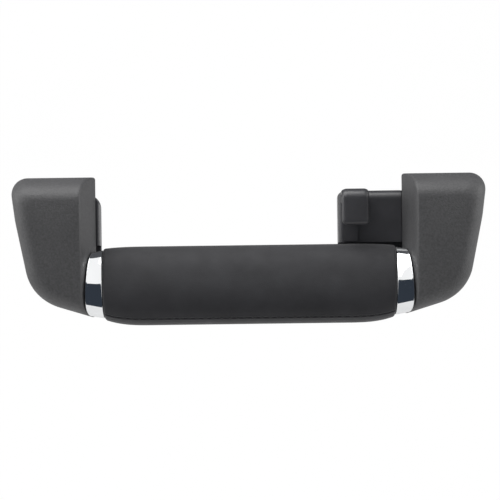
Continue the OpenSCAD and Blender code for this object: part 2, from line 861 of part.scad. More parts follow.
module leg_housing_screws() {
    for (p = housing_screw_at) translate([p[0], -web_y, p[1]])
        tap_screw(arm_t + tap_reach - 0.5);
}

module housing_screws() {
    right_leg() leg_housing_screws();
    left_leg() leg_housing_screws();
}

// The screw that draws an arm's tenon into the grip's core, with a hexagon socket
module arm_screw() {
    socket_r = 2.2;
    color(steel_colour) translate([0, grip_leg_y, grip_leg_z]) difference() {
        union() {
            bar_x(grip_end_x - tenon_len - arm_screw_reach + 1, boss_end + sink, arm_screw_r);
            bar_x(boss_end, boss_end + arm_screw_head_t, arm_screw_head_r);
        }
        translate([boss_end + 1, 0, 0]) rotate([0, 90, 0])
            cylinder(h = arm_screw_head_t, r = socket_r, $fn = 6);
    }
}

module arm_screws() {
    right_leg() arm_screw();
    left_leg() arm_screw();
}

// A hinge pin: domed head inboard, groove for its clip outboard
module hinge_pin() {
    start = ear_in - ear_t;
    groove = ear_out + ear_t + clip_play;
    color(steel_colour) difference() {
        union() {
            bar_x(start, groove + clip_t + 1.4, pin_r);
            bar_x(start - pin_head_t, start, pin_head_r);
        }
        difference() {
            bar_x(groove, groove + clip_t + clip_play, pin_r + past);
            bar_x(groove - past, groove + clip_t + past, groove_r);
        }
    }
}

// The clip that keeps a pin in: a spring washer with a mouth on one side
module pin_clip() {
    start = ear_out + ear_t + clip_play;
    mouth = groove_r * 1.7;
    color(steel_colour) difference() {
        bar_x(start + clip_play / 2, start + clip_t, pin_head_r + 0.4);
        bar_x(start - past, start + clip_t + past, groove_r + 0.05);
        translate([start - past, -mouth / 2, 0]) cube([clip_t + 2 * past, mouth, pin_head_r + past]);
    }
}

module pin_clips() {
    right_leg() pin_clip();
    left_leg() pin_clip();
}

// The return spring, round the left pin between the knuckles: one leg against the arm's web,
// then the turns, then the other leg against the base plate. The wire has eight flats.
coil_r = pin_r + 1 + wire_t / 2;
coil_from = knuckle_in + knuckle_len + side_gap + wire_t / 2;
coil_to = knuckle_out - knuckle_len - side_gap - wire_t / 2;
wire_sides = 8;
steps_per_turn = 18;
spring_turns = floor((coil_to - coil_from) / (wire_t + 0.1));
leg_low = -13;
spring_rest = 0.35;

// The coil starts where a line from the web's back touches it, and ends where one to the plate does
web_touch = [-web_y + wire_t / 2 + spring_rest, leg_low];
plate_touch = [plate_y - wire_t / 2 - spring_rest, leg_low];
coil_start = atan2(web_touch[1], web_touch[0]) - acos(coil_r / norm(web_touch));
coil_end = atan2(plate_touch[1], plate_touch[0]) + acos(coil_r / norm(plate_touch));
coil_turn = -360 * spring_turns + (coil_end - coil_start) % 360;

spring_route = concat(
    [[coil_from, web_touch[0], web_touch[1]]],
    [
        for (i = [0 : steps_per_turn * spring_turns])
            let (
                f = i / (steps_per_turn * spring_turns),
                a = coil_start + f * coil_turn
            )
            [coil_from + f * (coil_to - coil_from), coil_r * cos(a), coil_r * sin(a)]
    ],
    [[coil_to, plate_touch[0], plate_touch[1]]]
);

function unit(v) = v / norm(v);

// The wire's ring at point i of a route: it stands square to the direction there
function wire_ring(route, i) =
    let (
        last = len(route) - 1,
        t = unit(route[min(i + 1, last)] - route[max(i - 1, 0)]),
        u = unit([1, 0, 0] - t * t.x),
        v = cross(t, u)
    )
    [for (k = [0 : wire_sides - 1])
        route[i] + wire_t / 2 * (u * cos(360 * k / wire_sides) + v * sin(360 * k / wire_sides))];

module return_spring() {
    left_leg() color(steel_colour)
        loft([for (i = [0 : len(spring_route) - 1]) wire_ring(spring_route, i)]);
}

// The rotary damper, round the right pin between the knuckles: a rotor sleeve keyed to the
// pin, and a body that turns with the arm and bears on its web
damper_from = knuckle_in + knuckle_len + side_gap;
damper_to = knuckle_out - knuckle_len - side_gap;
damper_lid = 1.2;

module damper_rotor() {
    right_leg() color(steel_colour) difference() {
        bar_x(damper_from, damper_to, rotor_r);
        bar_x(damper_from - past, damper_to + past, pin_r + ear_fit);
    }
}

module damper_body() {
    key_w = 5;
    right_leg() color(nylon_colour) difference() {
        union() {
            bar_x(damper_from, damper_to, damper_r);
            translate([damper_from + damper_lid, -web_y + seat_fit, -key_w - 4])
                cube([damper_to - damper_from - 2 * damper_lid, web_y - seat_fit - 3, key_w]);
        }
        bar_x(damper_from - past, damper_to + past, rotor_r + run_fit);
        for (x = [damper_from + damper_lid, damper_to - damper_lid - 0.6]) difference() {
            bar_x(x, x + 0.6, damper_r + past);
            bar_x(x - past, x + 0.6 + past, damper_r - 0.5);
            translate([x - past, -web_y, -key_w - 5]) cube([0.6 + 2 * past, web_y, key_w + 3]);
        }
    }
}

// A cover that closes the recess over the bolt head
cover_t = 1.5;
cover_plug = 2;
cover_ring = 1;

module screw_cover() {
    front = plate_y - recess_h;
    color(smooth_colour) translate([hinge_x, 0, -hinge_z]) difference() {
        union() {
            bar_y(front - cover_t, front - 0.05, recess_r + recess_wall);
            bar_y(front - cover_t, front + cover_plug, recess_r - seat_fit);
        }
        bar_y(front, front + cover_plug + past, recess_r - seat_fit - cover_ring);
        translate([-2, front - cover_t - past, -recess_r - recess_wall - past])
            cube([4, past + 0.6, recess_wall + past + 0.8]);
    }
}

module bumper() {
    color(rubber_colour) translate([bumper_at[0], 0, bumper_at[1]]) {
        bar_y(bumper_y() + 1, plate_y, bumper_r);
        bar_y(bumper_y(), bumper_y() + 1 + sink, bumper_r - 0.8);
        bar_y(plate_y - sink, roof_y, bumper_stem_r);
    }
}

module left_bracket() { left_leg() bracket(left_block_w, left_corner_r, false); }
module right_bracket() { right_leg() bracket(right_block_w, right_corner_r, true); }
module left_hinge_pin() { left_leg() hinge_pin(); }
module right_hinge_pin() { right_leg() hinge_pin(); }
module left_screw_cover() { left_leg() screw_cover(); }
module right_screw_cover() { right_leg() screw_cover(); }
module left_bumper() { left_leg() bumper(); }
module right_bumper() { right_leg() bumper(); }
module left_arm() { left_leg() arm(); }
module right_arm() { right_leg() arm(); }
module left_housing() { left_leg() housing(); }
module right_housing() { right_leg() housing(); }
module left_collar() { left_leg() collar(); }
module right_collar() { right_leg() collar(); }

left_bracket();
right_bracket();
coat_hook();
hook_screw();
left_hinge_pin();
right_hinge_pin();
pin_clips();
return_spring();
damper_rotor();
damper_body();
left_screw_cover();
right_screw_cover();
left_bumper();
right_bumper();
left_arm();
right_arm();
left_housing();
right_housing();
left_collar();
right_collar();
grip_core();
grip_leather();
arm_screws();
housing_screws();
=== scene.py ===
# %% [markdown]
# # A folding roof grab handle
#
# The handle hangs from the roof of a car: a leather-covered grip between two plastic housings,
# with a chrome collar at each end and a coat hook on one bracket. The CAD model gives the frame:
# the brackets stay on the roof, and the rest folds down on two pins. This scene keeps that frame
# and gives each piece the surface that it has in the photograph.
#
# All lengths are in metres. X runs along the handle, Y goes into the roof and Z is up.

import json
import math

import bpy
import numpy as np
from mathutils import Matrix, Vector


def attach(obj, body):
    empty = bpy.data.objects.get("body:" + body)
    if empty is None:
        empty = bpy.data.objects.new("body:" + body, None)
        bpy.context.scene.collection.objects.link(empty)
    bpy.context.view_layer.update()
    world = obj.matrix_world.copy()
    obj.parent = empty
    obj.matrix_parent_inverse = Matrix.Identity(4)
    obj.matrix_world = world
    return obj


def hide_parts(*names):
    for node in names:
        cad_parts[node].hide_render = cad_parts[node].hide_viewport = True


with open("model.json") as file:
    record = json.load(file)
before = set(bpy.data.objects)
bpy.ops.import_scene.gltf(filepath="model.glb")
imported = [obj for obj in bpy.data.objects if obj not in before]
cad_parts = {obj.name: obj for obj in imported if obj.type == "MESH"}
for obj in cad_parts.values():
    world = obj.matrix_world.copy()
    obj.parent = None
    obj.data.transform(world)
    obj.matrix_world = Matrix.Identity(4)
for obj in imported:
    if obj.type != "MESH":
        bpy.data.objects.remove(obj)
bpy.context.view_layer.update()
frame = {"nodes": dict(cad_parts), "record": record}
nodes = frame["nodes"]
mm = 0.001

# %% [markdown]
# ## Camera, backdrop and light
#
# The photograph was taken from straight in front, about 0.8 m away with a long lens, and the
# handle lies a little askew in it. So the camera looks along Y and is rolled by less than a
# degree. Sensor width over focal length is picture width over distance, which gives the lens.

# %% The camera
photo_px = 500
mm_per_px = 0.53
camera_distance = 800 * mm
face_plane_y = -42 * mm
roll = math.radians(0.75)

camera_data = bpy.data.cameras.new("photo_camera")
camera_data.sensor_width = 36
camera_data.lens = 36 * camera_distance / (photo_px * mm_per_px * mm)
camera = bpy.data.objects.new("photo_camera", camera_data)
bpy.context.scene.collection.objects.link(camera)
eye = (0.42 * mm, face_plane_y - camera_distance, 4 * mm)
camera.matrix_world = (
    Matrix.Translation(eye) @ Matrix.Rotation(math.pi / 2, 4, "X") @ Matrix.Rotation(-roll, 4, "Z")
)
bpy.context.scene.camera = camera
print("lens in mm:", round(camera_data.lens, 1))

# %% [markdown]
# The studio is a pale sweep: a floor that curves up into a wall, all in one sheet, so that no
# edge shows behind the handle. A grid of points serves for it and for every piece below: rows of
# points, joined into faces by index arithmetic, with no loop over the points.


# %% A surface from rows of points
def rows_to_mesh(name, rows, closed=True, looped=False, capped=False):
    """A mesh through rows of points, an array of shape (rows, points, 3).

    Point i of row k has index k * n + i. Each face joins points i and i + 1 of rows k and k + 1.
    A closed row joins its last point to its first, and a looped mesh its last row to its first.
    A capped mesh gets a fan at each end, from the mean of the end row to that row.
    """
    count, n = rows.shape[:2]
    k, i = np.meshgrid(
        np.arange(count if looped else count - 1), np.arange(n if closed else n - 1), indexing="ij"
    )
    j, m = (i + 1) % n, (k + 1) % count
    faces = np.stack([k * n + i, k * n + j, m * n + j, m * n + i], -1).reshape(-1, 4)
    points = rows.reshape(-1, 3)
    faces = faces.tolist()
    if capped:
        points = np.vstack([points, rows[0].mean(0), rows[-1].mean(0)])
        a = np.arange(n)
        b = (a + 1) % n
        last = (count - 1) * n
        faces += np.stack([b, a, np.full(n, count * n)], -1).tolist()
        faces += np.stack([last + a, last + b, np.full(n, count * n + 1)], -1).tolist()
    mesh = bpy.data.meshes.new(name)
    mesh.from_pydata(points.tolist(), [], faces)
    mesh.polygons.foreach_set("use_smooth", np.ones(len(mesh.polygons), bool))
    return mesh


def add_piece(name, mesh, sharp_angle=40):
    """An object for the mesh, shaded smooth except where faces meet at more than the angle."""
    mesh.set_sharp_from_angle(angle=math.radians(sharp_angle))
    piece = bpy.data.objects.new(name, mesh)
    bpy.context.scene.collection.objects.link(piece)
    return piece


# %% The sweep
def sweep_profile():
    """Points (y, z) along the floor, up a quarter circle of radius r and up the wall."""
    floor_z, wall_y, r, top = -0.40, 1.60, 0.50, 2.2
    turn = np.radians(np.linspace(-90, 0, 24))
    bend = np.stack([wall_y - r + r * np.cos(turn), floor_z + r + r * np.sin(turn)], -1)
    return np.vstack([[-2.5, floor_z], bend, [wall_y, top]])


profile = sweep_profile()
sides = np.array([2.5, -2.5])
sweep_rows = np.stack(
    [np.stack([np.full(len(profile), x), profile[:, 0], profile[:, 1]], -1) for x in sides]
)
sweep = add_piece("studio_sweep", rows_to_mesh("studio_sweep", sweep_rows, closed=False))


# %% [markdown]
# ## Materials
#
# Every finish is a small node tree on object coordinates, so its grain has a real size whatever
# the shape. A helper makes the nodes: the shader's own sockets hold what is the same all over,
# and noise drives only colour, roughness and bump.


# %% Node helpers
def new_material(name, **values):
    """A material whose Principled shader has the given socket values."""
    material = bpy.data.materials.new(name)
    material.use_nodes = True
    shader = material.node_tree.nodes["Principled BSDF"]
    for socket, value in values.items():
        shader.inputs[socket.replace("_", " ")].default_value = value
    return material


def add_node(material, kind, **values):
    """A node of that kind. Its inputs take numbers, colours or another node's output."""
    node = material.node_tree.nodes.new(kind)
    for key, value in values.items():
        if hasattr(node, key):
            setattr(node, key, value)
            continue
        socket = node.inputs[int(key[1:])] if key[0] == "i" and key[1:].isdigit() else node.inputs[
            key.replace("_", " ")
        ]
        if isinstance(value, bpy.types.NodeSocket):
            material.node_tree.links.new(value, socket)
        else:
            socket.default_value = value
    return node


def object_space(material):
    """Object coordinates, in metres."""
    return add_node(material, "ShaderNodeTexCoord").outputs["Object"]


def noise(material, scale, detail=2.0, stretch=None):
    """Noise with that many features a metre, stretched along an axis if asked."""
    vector = object_space(material)
    if stretch:
        vector = add_node(material, "ShaderNodeMapping", Vector=vector, Scale=stretch).outputs[0]
    return add_node(
        material, "ShaderNodeTexNoise", Vector=vector, Scale=scale, Detail=detail
    ).outputs["Fac"]


def spread(material, value, low, high):
    """Noise from 0.3 to 0.7 spread over low to high: low + (value - 0.3) / 0.4 * (high - low)."""
    return add_node(
        material, "ShaderNodeMapRange", Value=value, i1=0.3, i2=0.7, i3=low, i4=high
    ).outputs[0]


def mix_colour(material, value, low, high):
    """The colour low where value is 0 and high where it is 1."""
    node = add_node(material, "ShaderNodeMix", data_type="RGBA")
    material.node_tree.links.new(value, node.inputs[0])
    node.inputs[6].default_value = (*low, 1)
    node.inputs[7].default_value = (*high, 1)
    return node.outputs[2]


def bump(material, height, depth, below=None):
    """A bump as deep as depth, in metres, on top of another bump if one is given."""
    node = add_node(material, "ShaderNodeBump", Height=height, Distance=depth, Strength=1.0)
    if below is not None:
        material.node_tree.links.new(below, node.inputs["Normal"])
    return node.outputs["Normal"]


def feed(material, **sockets):
    """Links outputs to the shader's sockets by name."""
    shader = material.node_tree.nodes["Principled BSDF"]
    for socket, output in sockets.items():
        material.node_tree.links.new(output, shader.inputs[socket.replace("_", " ")])
    return material


# %% [markdown]
# The housings are moulded in a tool with an etched grain. It is a field of small rounded bumps,
# half a millimetre apart. Cells of a Voronoi texture give the bumps, and a finer noise breaks
# them up. The light catches the bumps' tops, so the roughness stays middling.


# %% Moulded plastics
def grained_plastic():
    material = new_material("grained_plastic", Roughness=0.5, Specular_IOR_Level=0.5)
    cells = add_node(
        material, "ShaderNodeTexVoronoi", Vector=object_space(material), Scale=1500.0
    ).outputs["Distance"]
    fine = noise(material, 2600.0)
    colour = mix_colour(
        material, spread(material, noise(material, 900.0, 4.0), 0, 1),
        (0.056, 0.056, 0.058), (0.082, 0.082, 0.085),
    )
    relief = bump(material, fine, 0.05 * mm, bump(material, cells, 0.10 * mm))
    return feed(
        material,
        Base_Color=colour,
        Roughness=spread(material, noise(material, 60.0), 0.50, 0.58),
        Normal=relief,
    )


def smooth_plastic():
    material = new_material("smooth_plastic", Specular_IOR_Level=0.5)
    colour = mix_colour(
        material, spread(material, noise(material, 90.0), 0, 1),
        (0.042, 0.042, 0.046), (0.053, 0.053, 0.058),
    )
    return feed(
        material,
        Base_Color=colour,
        Roughness=spread(material, noise(material, 140.0), 0.29, 0.34),
        Normal=bump(material, noise(material, 1800.0), 0.012 * mm),
    )


def filled_nylon():
    material = new_material("filled_nylon")
    fibres = noise(material, 900.0, 3.0, (1.0, 1.0, 0.15))
    return feed(
        material,
        Base_Color=mix_colour(
            material, spread(material, fibres, 0, 1), (0.020, 0.020, 0.021), (0.040, 0.040, 0.042)
        ),
        Roughness=spread(material, noise(material, 300.0), 0.42, 0.60),
        Normal=bump(material, fibres, 0.03 * mm),
    )


def moulded_rubber():
    material = new_material("moulded_rubber")
    return feed(
        material,
        Base_Color=mix_colour(
            material, spread(material, noise(material, 200.0), 0, 1),
            (0.014, 0.014, 0.014), (0.022, 0.022, 0.021),
        ),
        Roughness=spread(material, noise(material, 260.0), 0.70, 0.85),
        Normal=bump(material, noise(material, 1500.0), 0.03 * mm),
    )


# %% [markdown]
# The leather is a smooth, corrected one. Close to, it has very fine pores, and over a few
# millimetres its dye and its gloss vary a little.


# %% Leather and thread
def grip_leather_finish():
    material = new_material(
        "grip_leather", Specular_IOR_Level=0.20, Sheen_Weight=0.16, Sheen_Roughness=0.60
    )
    pores = add_node(
        material, "ShaderNodeTexVoronoi", Vector=object_space(material), Scale=1300.0,
        feature="DISTANCE_TO_EDGE",
    ).outputs["Distance"]
    creases = noise(material, 420.0, 4.0)
    # The dark tone is the leather's own, but the slight blue in both colours is a painted reflection of the
    # dark navy front that the grip's lower side faces.
    colour = mix_colour(
        material, spread(material, noise(material, 70.0, 3.0), 0, 1),
        (0.0165, 0.0165, 0.0192), (0.0243, 0.0243, 0.0278),
    )
    relief = bump(material, creases, 0.05 * mm, bump(material, pores, 0.06 * mm))
    return feed(
        material,
        Base_Color=colour,
        Roughness=spread(material, noise(material, 110.0, 3.0), 0.50, 0.60),
        Normal=relief,
    )


def thread_finish():
    material = new_material("seam_thread")
    twist = add_node(
        material, "ShaderNodeTexWave", Vector=object_space(material), Scale=900.0,
        bands_direction="DIAGONAL",
    ).outputs["Fac"]
    return feed(
        material,
        Base_Color=mix_colour(material, twist, (0.012, 0.012, 0.013), (0.030, 0.030, 0.032)),
        Roughness=spread(material, noise(material, 500.0), 0.55, 0.70),
        Normal=bump(material, twist, 0.04 * mm),
    )


# %% [markdown]
# Chrome is a mirror, so what it shows is the studio: white above, dark behind the camera and
# pale below. A very slight waviness of the plated plastic bends those edges.


# %% Metals
def chrome_plate():
    material = new_material("chrome_plate", Metallic=1.0)
    return feed(
        material,
        Base_Color=mix_colour(
            material, spread(material, noise(material, 40.0), 0, 1),
            (0.86, 0.87, 0.88), (0.92, 0.93, 0.94),
        ),
        Roughness=spread(material, noise(material, 220.0), 0.03, 0.06),
        Normal=bump(material, noise(material, 130.0, 1.0), 0.02 * mm),
    )


def zinc_steel(name, dark, bright, low, high):
    """A plated steel whose fine drawn lines run along X."""
    material = new_material(name, Metallic=1.0)
    lines = noise(material, 700.0, 2.0, (0.05, 1.0, 1.0))
    return feed(
        material,
        Base_Color=mix_colour(material, spread(material, lines, 0, 1), dark, bright),
        Roughness=spread(material, noise(material, 150.0), low, high),
        Normal=bump(material, lines, 0.008 * mm),
    )


finishes = {
    "grained_plastic": grained_plastic(),
    "smooth_plastic": smooth_plastic(),
    "leather": grip_leather_finish(),
    "chrome": chrome_plate(),
    "nylon": filled_nylon(),
    "steel": zinc_steel("zinc_steel", (0.50, 0.50, 0.51), (0.64, 0.64, 0.65), 0.24, 0.36),
    "spring_steel": zinc_steel("spring_wire", (0.34, 0.34, 0.35), (0.46, 0.46, 0.47), 0.28, 0.40),
    "rubber": moulded_rubber(),
}


def finish_piece(piece, finish):
    """The material goes on the piece."""
    piece.data.materials.clear()
    piece.data.materials.append(finish)
    return piece


for subpart in frame["record"]["subparts"]:
    node = nodes[subpart["node"]]
    node.data.materials.clear()
    node.data.materials.append(finishes[subpart["material_slot"]])
print("finishes:", len(finishes))

# %% [markdown]
# The light is a plain one: an even world, a large soft box overhead, a little to the left, and a
# small one at each side, so that the housings' outer and inner walls don't go dark. The sweep is
# grey paint that glows white to the camera, so the background is white and throws little light
# up. What shapes the chrome are two dark panels, one from below the lens to well above it and one
# overhead at the back. They show only in glossy surfaces, as black flags do in a studio, and
# take no light off the handle.


# %% The studio's own finishes
def light_path(material, camera, glossy):
    """camera for camera rays, glossy for rays that left a mirror or a gloss, else 0."""
    path = add_node(material, "ShaderNodeLightPath")
    seen = [
        add_node(material, "ShaderNodeMath", operation="MULTIPLY", i0=path.outputs[name], i1=share)
        for name, share in (("Is Camera Ray", camera), ("Is Glossy Ray", glossy))
    ]
    return add_node(
        material, "ShaderNodeMath", operation="MAXIMUM", i0=seen[0].outputs[0], i1=seen[1].outputs[0]
    ).outputs[0]


def studio_white(name):
    """Grey paint that is mostly lit from itself for the camera, and a little for mirrors."""
    material = new_material(name, Roughness=0.9, Specular_IOR_Level=0.1)
    tint = spread(material, noise(material, 3.0), 0, 1)
    feed(material, Base_Color=mix_colour(material, tint, (0.58, 0.58, 0.58), (0.62, 0.62, 0.62)))
    tree = material.node_tree
    glow = add_node(material, "ShaderNodeEmission", Color=(1, 1, 1, 1), Strength=1.04)
    both = add_node(
        material, "ShaderNodeMixShader", i0=light_path(material, 0.92, 0.35),
        i1=tree.nodes["Principled BSDF"].outputs[0], i2=glow.outputs[0],
    )
    tree.links.new(both.outputs[0], tree.nodes["Material Output"].inputs["Surface"])
    return material


def flag_paint(name, colour):
    """A panel that gives off a little of one colour."""
    material = new_material(name, Base_Color=(0, 0, 0, 1), Specular_IOR_Level=0.0)
    glow = add_node(material, "ShaderNodeEmission", Color=(*colour, 1), Strength=1.0)
    tree = material.node_tree
    tree.links.new(glow.outputs[0], tree.nodes["Material Output"].inputs["Surface"])
    return material


sweep.data.materials.append(studio_white("studio_white"))

# %% The dark panels
def add_flag(name, foot, head, colour):
    """A panel 1.7 m wide whose side view runs from foot to head, each (y, z)."""
    rows = np.array([[[x, *foot], [x, *head]] for x in (-0.85, 0.85)])
    flag = add_piece(name, rows_to_mesh(name, rows, closed=False))
    flag.data.materials.append(flag_paint(name + "_paint", colour))
    flag.visible_camera = flag.visible_diffuse = flag.visible_shadow = False
    flag.visible_transmission = False


add_flag("studio_front_flag", (-0.43, -0.39), (-0.95, 0.62), (0.032, 0.040, 0.053))
add_flag("studio_back_flag", (0.00, 1.25), (0.70, 0.10), (0.080, 0.083, 0.090))


# %% The lights
def add_light(name, position, target, size, power):
    """A rectangular area light at position that faces target."""
    data = bpy.data.lights.new(name, "AREA")
    data.shape = "RECTANGLE"
    data.size, data.size_y = size
    data.energy = power
    light = bpy.data.objects.new(name, data)
    bpy.context.scene.collection.objects.link(light)
    light.location = position
    aim = Vector(target) - Vector(position)
    light.rotation_euler = aim.to_track_quat("-Z", "Y").to_euler()
    return light


add_light("top_softbox", (-0.45, -0.35, 1.35), (0, -0.02, 0), (1.5, 1.4), 23)
for side in (-1, 1):
    add_light("side_softbox", (1.25 * side, 0.0, 0.30), (0, -0.02, 0), (0.8, 0.7), 5 + 0.8 * side)

world = bpy.data.worlds.new("studio_world")
bpy.context.scene.world = world
world.use_nodes = True
background = world.node_tree.nodes["Background"]
background.inputs["Color"].default_value = (1, 1, 1, 1)
plain_level = 0.5
seen = light_path(world, 1 - plain_level, 1 - plain_level)
total = add_node(world, "ShaderNodeMath", operation="ADD", i0=seen, i1=plain_level)
world.node_tree.links.new(total.outputs[0], background.inputs["Strength"])
bpy.context.scene.view_settings.view_transform = "Standard"

# %% [markdown]
# ## The grip
#
# The leather is one sheet, wrapped round the core and sewn along the lower side, where the seam
# shows as a fine groove with a row of short stitches. A ring of points is swept along the grip:
# the ring is a superellipse that leans back, and it shrinks towards both ends. The groove is
# cut by moving points inwards near the seam.

# %% Sizes of the grip, as in the CAD source
grip_len = 158.4
half = grip_len / 2
grip_mid = np.array([22.1, 13.0])
grip_end = np.array([19.9, 11.9])
grip_y, grip_drop, grip_rise = 19.5, 14.7, 1.1
grip_tilt = math.radians(22)
grip_taper = 26.0
leather_t, leather_r = 1.5, 1.4
oval_n = 2.3
end_lean = 0.037


def oval(t, a, b):
    """Points (y, z) of a superellipse at angle t, leaned back by the grip's tilt.

    y is b times cos t to the power 2 / n, and z is a times sin t to the same power, each with
    its sign kept.
    """
    y = b * np.sign(np.cos(t)) * np.abs(np.cos(t)) ** (2 / oval_n)
    z = a * np.sign(np.sin(t)) * np.abs(np.sin(t)) ** (2 / oval_n)
    return np.stack(
        [y * math.cos(grip_tilt) + z * math.sin(grip_tilt), z * math.cos(grip_tilt) - y * math.sin(grip_tilt)],
        -1,
    )


def swell(d):
    """Share of the way from the end section to the middle section, at distance d from an end."""
    return 1 - (1 - np.minimum(d / grip_taper, 1)) ** 3


def edge_turn(d):
    """How far the leather's edge has turned in, at distance d from its end."""
    return np.where(d < leather_r, leather_r - np.sqrt(np.maximum(leather_r**2 - (leather_r - d) ** 2, 0)), 0)


# %% Where the seam lies
seam_rise = 3.8
around = np.linspace(0, 2 * np.pi, 2000, endpoint=False)
middle_oval = oval(around, *grip_mid)
front_low = (middle_oval[:, 0] < middle_oval[np.argmin(middle_oval[:, 1]), 0]) & (
    middle_oval[:, 1] < 0
)
above_lowest = np.abs(middle_oval[:, 1] - middle_oval[:, 1].min() - seam_rise)
seam_t = around[front_low][np.argmin(above_lowest[front_low])]
print("seam at", round(math.degrees(seam_t)), "degrees round the section")


# %% The leather tube
def grip_angles():
    """Angles round the section: even ones, and close ones beside the seam."""
    near = seam_t + np.radians(14) * np.linspace(-1, 1, 41) ** 3
    even = np.linspace(0, 2 * np.pi, 150, endpoint=False)
    even = even[np.abs(even - seam_t) > np.radians(14.5)]
    return np.sort(np.concatenate([even, near]))


def grip_rows(x, t, inset, seam=True):
    """Rows of the grip's surface at the stations x and the angles t.

    Towards the ends the rows lean: their tops reach further out, by end_lean times the height.
    """
    d = grip_len / 2 - np.abs(x)
    share = swell(d)[:, None]
    sizes = grip_end + (grip_mid - grip_end) * share - inset[:, None]
    ring = np.stack([oval(t, a, b) for a, b in sizes])
    outward = ring / np.linalg.norm(ring, axis=-1, keepdims=True)
    if seam:
        s = (t - seam_t)[None, :] * np.linalg.norm(ring, axis=-1)
        along = 0.75 + 0.25 * np.cos(2 * np.pi * x / stitch_pitch)[:, None]
        groove = -0.42 * np.exp(-((s / 0.42) ** 2))
        puff = 0.16 * along * (np.exp(-(((s - 1.5) / 0.8) ** 2)) + np.exp(-(((s + 1.5) / 0.8) ** 2)))
        ring = ring + outward * (groove + puff)[..., None]
    centre = np.stack([-grip_y + 0 * d, -grip_drop + grip_rise * (1 - swell(d))], -1)
    leaned = x[:, None] * (1 + end_lean * ring[..., 1] / half)
    return np.concatenate([leaned[..., None], ring + centre[:, None, :]], -1)


stitch_pitch = 4.4
turn_d = leather_r * (1 - np.cos(np.radians(np.linspace(0, 90, 8))))
body_x = np.linspace(-half + leather_r, half - leather_r, 261)[1:-1]
outer_x = np.concatenate([turn_d - half, body_x, (half - turn_d)[::-1]])
angles = grip_angles()
outer = grip_rows(outer_x, angles, edge_turn(half - np.abs(outer_x)))
inner_x = np.array([half, half - 12, half - 26, 0, 26 - half, 12 - half, -half])
inner = grip_rows(inner_x, angles, np.full(len(inner_x), leather_t), seam=False)
tube = np.concatenate([outer, inner]) * mm
leather = add_piece("leather_wrap", rows_to_mesh("leather_wrap", tube, looped=True))
finish_piece(leather, finishes["leather"])
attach(leather, "handle")
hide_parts("grip_leather")
print("leather:", len(leather.data.polygons), "faces")

# %% [markdown]
# Each stitch is one short arch of thread that comes up out of the leather and goes down again.
# One arch is a bar whose centre line follows half a sine wave. All the arches are rows of one
# array, so the whole row of stitches is made in one go.


# %% The stitches
def stitches(sides=8, steps=9):
    """Thread arches along the seam, one every stitch_pitch.

    At share u along a stitch, the centre line lies at height 0.42 * sin(pi * u) - 0.24 mm over
    the leather, and the thread's radius is 0.3 mm.
    """
    count = int((grip_len - 14) / stitch_pitch)
    starts = (np.arange(count) - count / 2 + 0.2) * stitch_pitch
    u = np.linspace(0, 1, steps)
    x = starts[:, None] + 0.62 * stitch_pitch * u[None, :]
    d = half - np.abs(x)
    sizes = grip_end + (grip_mid - grip_end) * swell(d)[..., None]
    t = np.full(1, seam_t - math.radians(0.4))
    base = np.stack([oval(t, a, b)[0] for a, b in sizes.reshape(-1, 2)]).reshape(*x.shape, 2)
    outward = base / np.linalg.norm(base, axis=-1, keepdims=True)
    lift = 0.50 * np.sin(np.pi * u) - 0.36
    centre = base + outward * lift[None, :, None]
    centre[..., 0] += -grip_y
    centre[..., 1] += -grip_drop + grip_rise * (1 - swell(d))
    a = np.linspace(0, 2 * np.pi, sides, endpoint=False)
    across = np.stack([-outward[..., 1], outward[..., 0]], -1)
    offset = 0.27 * (
        np.cos(a)[None, None, :, None] * outward[:, :, None, :]
        + np.sin(a)[None, None, :, None] * across[:, :, None, :]
    )
    yz = centre[:, :, None, :] + offset
    leaned = x * (1 + end_lean * base[..., 1] / half)
    xs = np.broadcast_to(leaned[:, :, None, None], (*yz.shape[:3], 1))
    return np.concatenate([xs, yz], -1) * mm


def join_meshes(name, meshes):
    """One mesh out of several, each with its own points."""
    points, faces, start = [], [], 0
    for mesh in meshes:
        co = np.empty(len(mesh.vertices) * 3)
        mesh.vertices.foreach_get("co", co)
        points.append(co.reshape(-1, 3))
        faces += [[start + v for v in polygon.vertices] for polygon in mesh.polygons]
        start += len(mesh.vertices)
        bpy.data.meshes.remove(mesh)
    joined = bpy.data.meshes.new(name)
    joined.from_pydata(np.vstack(points).tolist(), [], faces)
    joined.polygons.foreach_set("use_smooth", np.ones(len(joined.polygons), bool))
    return joined


stitch_rows = stitches()
seam = add_piece(
    "seam_stitches",
    join_meshes("seam_stitches", [rows_to_mesh("stitch", rows, capped=True) for rows in stitch_rows]),
)
finish_piece(seam, thread_finish())
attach(seam, "handle")
print("stitches:", len(stitch_rows))

# %% [markdown]
# ## The housings
#
# A housing is a thin shell, open at the back. Seen from the cabin its outline has five sides:
# the leaning inner wall, the top, two outer sides and the underside. Towards the face each side
# comes in, first by a slight draft and then by the rounding that turns into the face. Drawing
# that outline at many depths gives the rows of the shell, and the same rows moved in by the
# wall's thickness give its inside.

# %% Sizes of a housing, as in the CAD source
handle_len, leg_w, leg_top, leg_h, leg_d = 260.0, 45.8, 10.0, 77.5, 30.0
leg_x = handle_len / 2 - leg_w
hinge_y, hinge_z = 15.0, 35.0
stand_off, leg_wall, inner_lean = 12.0, 2.4, 5.4
shoulder_drop, shoulder_in, heel_drop, heel_in = 24.0, 3.0, 67.0, 11.4
shoulder_r, heel_r, inner_top_r, toe_r, side_bow_r = 8.0, 26.0, 1.5, 2.0, 70.0
face_lean, face_crown, face_rise = 5.0, 0.6, 1.6
top_round, side_round, under_round, inner_edge = 13.0, 10.0, 8.0, 0.8
top_lean, outer_lean, under_lean = 1.0, 1.2, 1.5
back_y = hinge_y - stand_off


def rounding(w, size, k):
    """size * (1 - sqrt(1 - w to the power k)): none at the back, all of size at the face."""
    return size * (1 - np.sqrt(np.maximum(0, 1 - w**k)))


